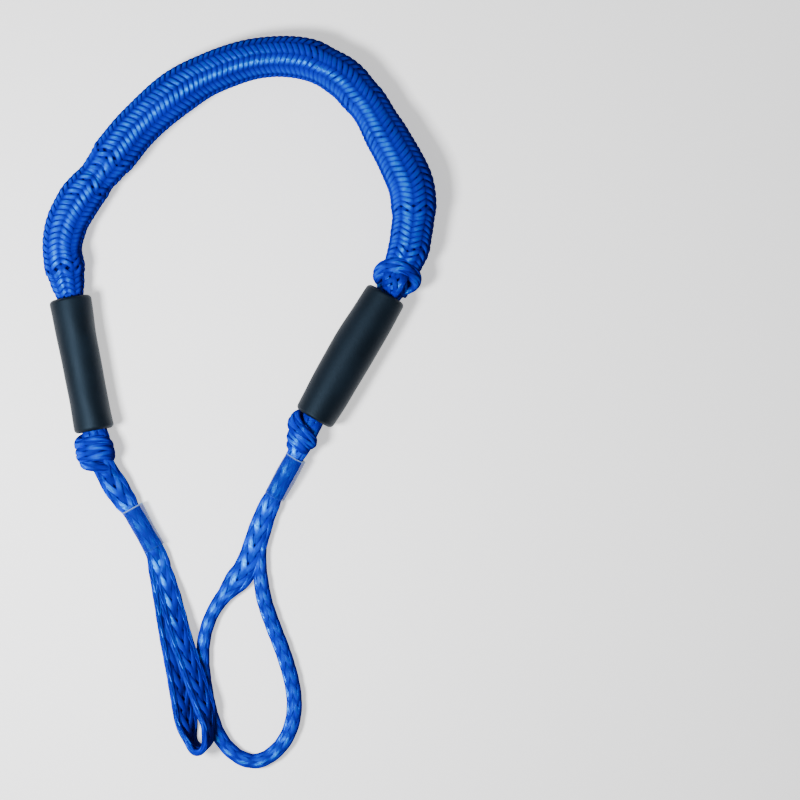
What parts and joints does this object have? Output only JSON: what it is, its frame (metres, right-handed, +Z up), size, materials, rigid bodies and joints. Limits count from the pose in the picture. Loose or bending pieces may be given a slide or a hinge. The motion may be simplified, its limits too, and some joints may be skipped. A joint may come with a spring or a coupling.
{
  "type": "bungee dock line",
  "caption": "Stretch mooring line: braided rope bunched over rubber cores in its fat middle, a foam float and a stopper knot on each arm, and a spliced eye at each end.",
  "frame": {"origin": "on the deck under the middle of the line as it lies", "axes": "+Y towards the arch of the fat middle, away from the eyes; +Z up from the deck it lies on"},
  "size_m": [0.3303, 0.6138, 0.035],
  "materials": {
    "blue_braid": "glossy filament braid",
    "float_foam": "matt closed-cell foam",
    "clear_vinyl": "clear thin sleeve",
    "bungee_rubber": "matt natural rubber",
    "whipping_twine": "waxed twine"
  },
  "bodies": {
    "fat_middle": {"bungee_sheath": "blue_braid", "bungee_core_1": "bungee_rubber", "bungee_core_2": "bungee_rubber", "bungee_core_3": "bungee_rubber", "bungee_core_4": "bungee_rubber", "left_core_whipping": "whipping_twine", "right_core_whipping": "whipping_twine", "right_upper_knot": "blue_braid", "right_neck_line": "blue_braid"},
    "left_arm": {"left_inner_line": "blue_braid", "left_lower_knot": "blue_braid"},
    "left_float": {"left_float": "float_foam"},
    "left_tail": {"left_tail": "blue_braid", "left_buried_end": "blue_braid", "left_eye": "blue_braid"},
    "left_clear_tube": {"left_clear_tube": "clear_vinyl"},
    "right_arm": {"right_inner_line": "blue_braid", "right_lower_knot": "blue_braid"},
    "right_float": {"right_float": "float_foam"},
    "right_tail": {"right_tail": "blue_braid", "right_buried_end": "blue_braid", "right_eye": "blue_braid"},
    "right_clear_tube": {"right_clear_tube": "clear_vinyl"}
  },
  "joints": [
    {"name": "left_stretch", "type": "slide", "parent": "fat_middle", "child": "left_arm", "axis": [0.1803, -0.9836, 0], "range_m": [0, 0.03], "stiffness_N_per_m": 1500},
    {"name": "left_float_spin", "type": "hinge", "parent": "left_arm", "child": "left_float", "pos_m": [-0.1415, 0.0874, 0.0175], "axis": [0.1803, -0.9836, 0], "continuous": true},
    {"name": "left_tail_swing", "type": "hinge", "parent": "left_arm", "child": "left_tail", "pos_m": [-0.1194, -0.0402, 0.017], "axis": [0, 0, 1], "range_deg": [-25, 0]},
    {"name": "left_tube_slide", "type": "slide", "parent": "left_tail", "child": "left_clear_tube", "axis": [0.4788, -0.8763, -0.0524], "range_m": [-0.003, 0.003]},
    {"name": "right_arm_swing", "type": "hinge", "parent": "fat_middle", "child": "right_arm", "pos_m": [0.1243, 0.0905, 0.0175], "axis": [0, 0, 1], "range_deg": [0, 10]},
    {"name": "right_float_spin", "type": "hinge", "parent": "right_arm", "child": "right_float", "pos_m": [0.1243, 0.0905, 0.0175], "axis": [-0.5093, -0.8606, 0], "continuous": true},
    {"name": "right_tail_swing", "type": "hinge", "parent": "right_arm", "child": "right_tail", "pos_m": [0.0562, -0.024, 0.017], "axis": [0, 0, 1], "range_deg": [0, 25]},
    {"name": "right_tube_slide", "type": "slide", "parent": "right_tail", "child": "right_clear_tube", "axis": [-0.4842, -0.8658, -0.1259], "range_m": [-0.002, 0.003]}
  ]
}
